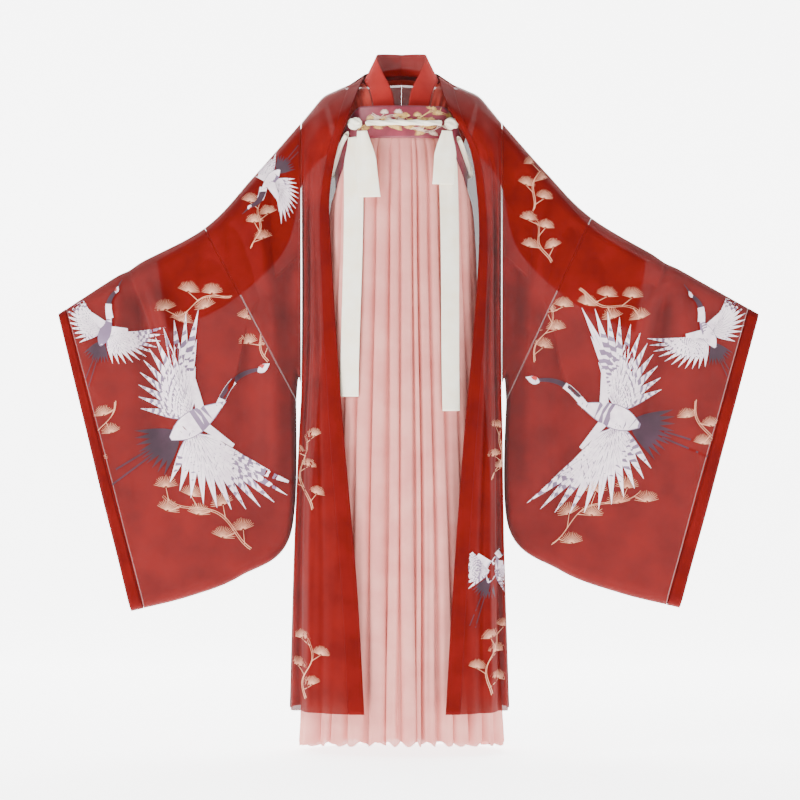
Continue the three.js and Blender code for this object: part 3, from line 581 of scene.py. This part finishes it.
# Each tail: x at its top and end, z at its top and end, and width. Each loop has the same, and how far apart
# its two layers stand.
tails = {"right": (-97, -103, -107, -632, 40), "left": (92, 102, -107, -661, 38)}
loops = {"right": (-80, -64, -93, -231, 44, 7), "left": (92, 84, -93, -205, 44, 8)}
knotSize = {"length": 17, "depth": 8, "height": 12}  # half sizes
for name in sides:
    centre = math.radians(-40 if name == "right" else 43.5)
    u, v = gridOf(np.linspace(0, 2 * np.pi, 60, endpoint=False), np.linspace(0.02, np.pi - 0.02, 40))
    crease = 1 + 0.09 * np.sin(5 * u + 3 * np.cos(v)) - 0.12 * bump(v, 1.2, 0.12)
    x = knotSize["length"] * crease * np.cos(v)
    y = knotSize["depth"] * crease * np.sin(v) * np.sin(u)
    z = knotSize["height"] * crease * np.sin(v) * np.cos(u)
    a, b = band["a"] + 12, band["b"] + 12
    knotX = a * math.sin(centre) + x * math.cos(centre) - y * math.sin(centre)
    knotY = -b * math.cos(centre) + x * math.sin(centre) + y * math.cos(centre)
    knot = np.stack([knotX, knotY, tie["height"] + z], -1)
    rolled[name].append(clothPiece(f"tie_knot_{name}_cloth", knot, ribbonCloth,
                                   [f"tie_knot_{name}"], "rolled", True))
    fromX, toX, fromZ, toZ, width = tails[name]
    u, v = gridOf(np.linspace(-0.5, 0.5, 26), np.linspace(0, 1, 140))
    spread = width * mix(0.55, 1, ease(v / 0.12)) * mix(1, 0.92, v)
    ripple = 2.5 * np.sin(u * 9) * (1 - v) ** 4 + 1.4 * np.sin(v * 9 + u * 3)
    tail = onSkirt(mix(fromX, toX, v) + u * spread + 2 * np.sin(v * 5), mix(fromZ, toZ, v), 5 + ripple)
    clothPiece(f"tie_tail_{name}_cloth", tail, ribbonCloth, [f"tie_tail_{name}"], thick=0.9)
    topX, lowX, topZ, lowZ, width, apart = loops[name]
    u, v = gridOf(np.linspace(-0.5, 0.5, 26), np.linspace(0.02, 0.98, 120))
    down = 1 - np.abs(1 - 2 * v)
    z = mix(topZ, lowZ, ease(np.minimum(1, down * 1.02)) * 0.3 + down * 0.7)
    spread = width * mix(0.45, 1, ease(down / 0.5))
    stand = 20 + apart * np.cos(np.pi * v) + 1.6 * np.sin(u * 8) * (1 - down)
    loop = onSkirt(mix(topX, lowX, down) + u * spread, z, stand)
    clothPiece(f"tie_loop_{name}_cloth", loop, ribbonCloth, [f"tie_loop_{name}"], "folded",
               thick=0.9)
print("ties made")


# Print and embroidery: flat shapes laid on the cloth.
# A feather or leaf from (0, 0) along +x: two rows of points, half width times sin(pi t ^ 0.75) to each side.
def leafShape(length, width, steps=9):
    t = np.linspace(0, 1, steps)
    half = width / 2 * np.sin(np.pi * np.clip(t, 0.02, 0.985) ** 0.75)
    return np.stack([t * length, half], -1), np.stack([t * length, -half], -1)


# Collects strips for one mesh. Each is two rows of points, a colour and a level of ink.
class Design:
    def __init__(self):
        self.points, self.faces, self.slots, self.levels = [], [], [], []

    def add(self, edgeA, edgeB, slot, level):
        start = sum(len(p) for p in self.points)
        n = len(edgeA)
        self.points.append(np.concatenate([edgeA, edgeB]))
        k = np.arange(n - 1)
        self.faces += np.stack([start + k, start + k + 1, start + n + k + 1, start + n + k], -1).tolist()
        self.slots += [slot] * (n - 1)
        self.levels += [level] * (2 * n)

    def stroke(self, path, widths, slot, level):
        path = np.asarray(path, float)
        along = np.gradient(path, axis=0)
        side = np.stack([-along[:, 1], along[:, 0]], -1) / (np.linalg.norm(along, axis=1)[:, None] + 1e-9)
        offset = side * np.asarray(widths)[:, None] / 2
        self.add(path + offset, path - offset, slot, level)


# Points turned by degrees about the origin, scaled, mirrored across x when flip is -1, and moved to a place.
def turned(points, degrees, at=(0, 0), scale=1.0, flip=1):
    c, s = math.cos(math.radians(degrees)), math.sin(math.radians(degrees))
    x, y = np.moveaxis(np.asarray(points) * scale, -1, 0)
    return np.stack([flip * (x * c - y * s) + at[0], x * s + y * c + at[1]], -1)


whiteInk, greyInk, darkInk, redInk, goldInk = range(5)
inks = [inkWhite, inkGrey, inkDark, inkRed, inkGold]


# A feather: a grey leaf, a smaller white one on it, and a fine shaft.
def addFeather(design, place, degrees, length, width, level):
    for grow, slot, rise in ((1.0, greyInk, 0), (0.86, whiteInk, 1)):
        a, b = leafShape(length * (0.98 if slot else 1), width * grow)
        a, b = (turned(e + [length * (1 - grow) / 4, 0], degrees, place[0:2]) for e in (a, b))
        design.add(place[2](a), place[2](b), slot, level + rise)
    shaft = np.stack([np.linspace(0.1, 0.85, 5) * length, np.zeros(5)], -1)
    design.stroke(place[2](turned(shaft, degrees, place[0:2])), np.linspace(0.9, 0.3, 5), greyInk, level + 2)


# A flying crane in profile, 300 mm long before scaling: legs, tail, two fanned wings, body, neck and head.
def addCrane(design, at, degrees, scale, flip):
    def lay(points):
        return turned(points, degrees, at, scale, flip)
    for offset in (-3, 3):
        leg = np.stack([np.linspace(-40, -165, 9), offset + np.linspace(0, offset * 2, 9)], -1)
        design.stroke(lay(leg), np.full(9, 2.4 * scale), darkInk, 0)
    for k in range(9):
        a, b = leafShape(62, 9)
        design.add(*(lay(turned(e, 180 + (k - 4) * 9, (-18, 0))) for e in (a, b)), darkInk, 1)
    wings = {"far": (14, 4, 62, 0.92), "near": (6, -4, -74, 1.0)}
    # Each row of feathers: count, reach, width and spread.
    featherRows = ((11, 120, 13, 74), (10, 84, 12, 66), (9, 52, 11, 60), (8, 30, 10, 50))
    for x, y, lean, size in wings.values():
        sign = 1 if lean > 0 else -1
        for row, (count, reach, width, spread) in enumerate(featherRows):
            for k in range(count):
                share = k / (count - 1)
                root = (x - 8 * share * size, y + sign * mix(4, 44 - 9 * row, 1 - share) * size)
                turn = lean + sign * mix(-18, spread, share)
                long = reach * size * mix(1.0, 0.62, share)
                addFeather(design, (root[0], root[1], lay), turn, long, width * size, 3 + 4 * row)
        elbow = np.stack([np.linspace(x + 6, x + 26, 8), y + sign * np.linspace(0, 52, 8)], -1)
        design.stroke(lay(elbow), np.linspace(20, 8, 8), whiteInk, 20)
    a, b = leafShape(92, 34, 14)
    design.add(lay(a - [34, 0]), lay(b - [34, 0]), greyInk, 21)
    design.add(lay(a * [0.97, 0.93] - [33, 0]), lay(b * [0.97, 0.93] - [33, 0]), whiteInk, 22)
    t = np.linspace(0, 1, 18)
    neckLine = np.stack([46 + 76 * t, 18 * np.sin(t * 2.6)], -1)
    design.stroke(lay(neckLine), mix(15, 6.5, t), darkInk, 23)
    design.stroke(lay(neckLine[:9]), mix(15, 11, t[:9]), whiteInk, 24)
    a, b = leafShape(20, 11)
    design.add(lay(a + [116, 9]), lay(b + [116, 9]), whiteInk, 25)
    design.add(lay(a * [0.5, 0.5] + [120, 12]), lay(b * [0.5, 0.5] + [120, 12]), redInk, 26)
    design.stroke(lay([(132, 9), (146, 8), (158, 6)]), [3.4, 2, 0.6], darkInk, 25)


# A fan of pine needles: thin strokes out from one point, and a small arc that ties them.
def addNeedles(design, at, degrees, radius, slot, thick=0.9, count=17):
    for turn in np.linspace(-78, 78, count):
        reach = radius * (1 - 0.12 * rng.random())
        line = turned(np.stack([np.linspace(radius * 0.12, reach, 4), np.zeros(4)], -1), degrees + turn, at)
        design.stroke(line, [thick, thick, thick, thick * 0.5], slot, 1)
    arc = np.radians(degrees + np.linspace(-60, 60, 9))
    knot = np.stack([at[0] + radius * 0.18 * np.cos(arc), at[1] + radius * 0.18 * np.sin(arc)], -1)
    design.stroke(knot, np.full(9, thick), slot, 1)


# A wavy branch, a sine across its length, with side shoots that each end in a fan of needles.
def addPine(design, start, degrees, length, slot, fans, fanRadius, thick=2.4):
    t = np.linspace(0, 1, 40)
    line = np.stack([length * t, 0.07 * length * np.sin(t * 7 + start[0])], -1)
    line = turned(line, degrees, start)
    for side in (-1, 1):
        design.stroke(line + side * np.array([thick * 0.5, thick * 0.6]), mix(thick, 0.8, t) * 0.6, slot, 1)
    for k in range(fans):
        share = (k + 0.6) / fans
        root = line[int(share * 39)]
        side = 1 if k % 2 else -1
        turn = degrees + side * rng.uniform(30, 65)
        shoot = turned(np.stack([np.linspace(0, fanRadius * 1.1, 6), np.zeros(6)], -1), turn, root)
        design.stroke(shoot, np.linspace(1.4, 0.8, 6), slot, 1)
        addNeedles(design, shoot[-1], 90 + rng.uniform(-20, 20), fanRadius, slot)


# Lays a flat design on the cloth: it is thrown onto it along Y, and each level stands lift + step x level mm
# proud. Points that miss the cloth are taken out.
def layDesign(name, design, target, fromFront, materials, lift=0.3, step=0.05):
    flat = np.concatenate(design.points)
    start = -420 if fromFront else 420
    points = np.stack([flat[:, 0], np.full(len(flat), float(start)), flat[:, 1]], -1)
    piece = meshPiece(name, points, design.faces, materials[0], uv=flat)
    for material in materials[1:]:
        piece.data.materials.append(material)
    piece.data.polygons.foreach_set("material_index", design.slots)
    wrap = piece.modifiers.new("lay", "SHRINKWRAP")
    wrap.target = target
    wrap.wrap_method = "PROJECT"
    wrap.use_project_y = True
    wrap.use_positive_direction = fromFront
    wrap.use_negative_direction = not fromFront
    with bpy.context.temp_override(object=piece, active_object=piece):
        bpy.ops.object.modifier_apply(modifier="lay")
    co = np.empty(3 * len(piece.data.vertices))
    piece.data.vertices.foreach_get("co", co)
    co = co.reshape(-1, 3)
    missed = np.abs(co[:, 1] - start * 0.001) < 0.001
    co[:, 1] += (-1 if fromFront else 1) * (lift + step * np.array(design.levels)) * 0.001
    piece.data.vertices.foreach_set("co", co.ravel())
    gone = {int(k) for k in np.nonzero(missed)[0]}
    if gone:
        work = bmesh.new()
        work.from_mesh(piece.data)
        work.verts.ensure_lookup_table()
        bmesh.ops.delete(work, geom=[work.verts[k] for k in gone], context="VERTS")
        work.to_mesh(piece.data)
        work.free()
    return piece


# Cranes have x, z, turn, scale and flip. Pines have x, z, turn, length, fans and a fan's radius.
prints = {
    "lower_right": {"cranes": [(-430, -690, 34, 1.5, 1), (-606, -505, 70, 0.75, 1)],
                    "pines": [(-350, -420, 200, 130, 5, 24), (-300, -930, 150, 210, 7, 26),
                              (-590, -640, 250, 150, 5, 22), (-270, -560, 110, 120, 5, 22)]},
    "lower_left": {"cranes": [(440, -675, 20, 1.5, -1), (628, -510, 62, 0.75, -1)],
                   "pines": [(360, -420, -20, 130, 5, 24), (300, -920, 30, 210, 7, 26),
                             (600, -640, -70, 150, 5, 22), (270, -560, 70, 120, 5, 22)]},
    "upper_right": {"cranes": [(-262, -185, 228, 0.62, 1)], "pines": [(-300, -330, 80, 90, 4, 20)]},
    "upper_left": {"cranes": [], "pines": [(262, -250, 75, 110, 5, 20), (300, -360, 110, 90, 4, 20)]},
    "front_right": {"cranes": [], "pines": [(-190, -860, 95, 150, 5, 18), (-195, -1240, 85, 120, 4, 20)]},
    "front_left": {"cranes": [(182, -985, 110, 0.7, -1)],
                   "pines": [(175, -1230, 85, 130, 5, 20), (190, -800, 80, 100, 4, 16)]},
}
targets = {"lower": lowerSleeves, "upper": upperSleeves, "front": robeFronts}
for place, content in prints.items():
    part, name = place.split("_")
    design = Design()
    for x, z, degrees, scale, flip in content["cranes"]:
        addCrane(design, (x, z), degrees, scale, flip)
    for x, z, degrees, length, fans, radius in content["pines"]:
        addPine(design, (x, z), degrees, length, goldInk, fans, radius)
    for view, fromFront in (("front", True), ("back", False)):
        if part != "front" or fromFront:
            layDesign(f"print_{place}_{view}", design, targets[part][name], fromFront, inks)
# Sprigs of the band, as the pines above, with gold thread (0) or pale thread (1).
bandSprigs = [(-88, -92, 12, 80, 6, 11, 0), (-20, -78, -14, 70, 6, 12, 0), (30, -66, 8, 80, 6, 12, 0),
              (-60, -62, -10, 60, 5, 10, 1), (20, -96, 6, 70, 5, 10, 1), (70, -84, 170, 60, 5, 10, 0)]
embroidery = Design()
for x, z, degrees, length, fans, radius, slot in bandSprigs:
    addPine(embroidery, (x, z), degrees, length, slot, fans, radius, 2.2)
layDesign("band_embroidery", embroidery, bandPiece, True, [threadGold, threadWhite], 1.1)
print("print and embroidery laid")

# Studio.
floorLevel = cadBox[0][2] - 0.004
# A paper sweep, in metres: a flat floor, a quarter circle of that radius, and a wall.
sweep = {"front": -3.5, "bend": 2.2, "radius": 1.2, "half": 6.0, "height": 5.0}
t = np.linspace(0, 1, 60)
turn = np.clip((t - 0.4) / 0.25, 0, 1) * np.pi / 2
run = np.where(t < 0.4, mix(sweep["front"], sweep["bend"], t / 0.4),
               sweep["bend"] + sweep["radius"] * np.sin(turn))
rise = np.where(t < 0.4, 0, sweep["radius"] * (1 - np.cos(turn)))
rise = rise + np.clip((t - 0.65) / 0.35, 0, 1) * sweep["height"]
sweepX, sweepT = gridOf([-sweep["half"], sweep["half"]], np.arange(60))
index = sweepT.astype(int)
sweepPoints = np.stack([sweepX, run[index], floorLevel + rise[index]], -1).reshape(-1, 3)
sweepMesh = bpy.data.meshes.new("backdrop")
k = np.arange(59)
sweepMesh.from_pydata(sweepPoints, [], np.stack([2 * k, 2 * k + 1, 2 * k + 3, 2 * k + 2], -1).tolist())
sweepMesh.polygons.foreach_set("use_smooth", np.ones(59, bool))
backdrop = bpy.data.objects.new("backdrop", sweepMesh)
bpy.context.scene.collection.objects.link(backdrop)
paper = bpy.data.materials.new("white_paper")
paper.use_nodes = True
glow = {"Base Color": linearOf("#fbfbfb"), "Roughness": 0.9, "Emission Color": (1, 1, 1, 1),
        "Emission Strength": 4.0}
for key, value in glow.items():
    paper.node_tree.nodes["Principled BSDF"].inputs[key].default_value = value
sweepMesh.materials.append(paper)

world = bpy.data.worlds.new("studio")
bpy.context.scene.world = world
world.use_nodes = True
world.node_tree.nodes["Background"].inputs["Color"].default_value = (1, 1, 1, 1)
world.node_tree.nodes["Background"].inputs["Strength"].default_value = 0.6
# Each lamp: its place, its size in metres and its power in watts.
lamps = {"key": ((-3.6, -2.2, 1.6), 1.2, 170), "fill": ((3.4, -3.0, 0.2), 2.2, 25),
         "back": ((0, 1.6, 3.4), 4.0, 160)}
aim = Vector((0, 0, -0.6))
for name, (spot, size, power) in lamps.items():
    light = bpy.data.lights.new(name, "AREA")
    light.size, light.energy = size, power
    lamp = bpy.data.objects.new(name, light)
    lamp.location = spot
    lamp.rotation_euler = (aim - Vector(spot)).to_track_quat("-Z", "Y").to_euler()
    bpy.context.scene.collection.objects.link(lamp)
camera = bpy.data.objects.new("camera", bpy.data.cameras.new("camera"))
distance, frameWidth = 7.0, 1.638
camera.data.sensor_width = 36
camera.data.lens = 36 * distance / frameWidth
camera.location = (-0.003, -distance, -0.639)
camera.rotation_euler = (math.pi / 2, 0, 0)
bpy.context.scene.collection.objects.link(camera)
bpy.context.scene.camera = camera

for row in cuts:
    print("cut", *row)
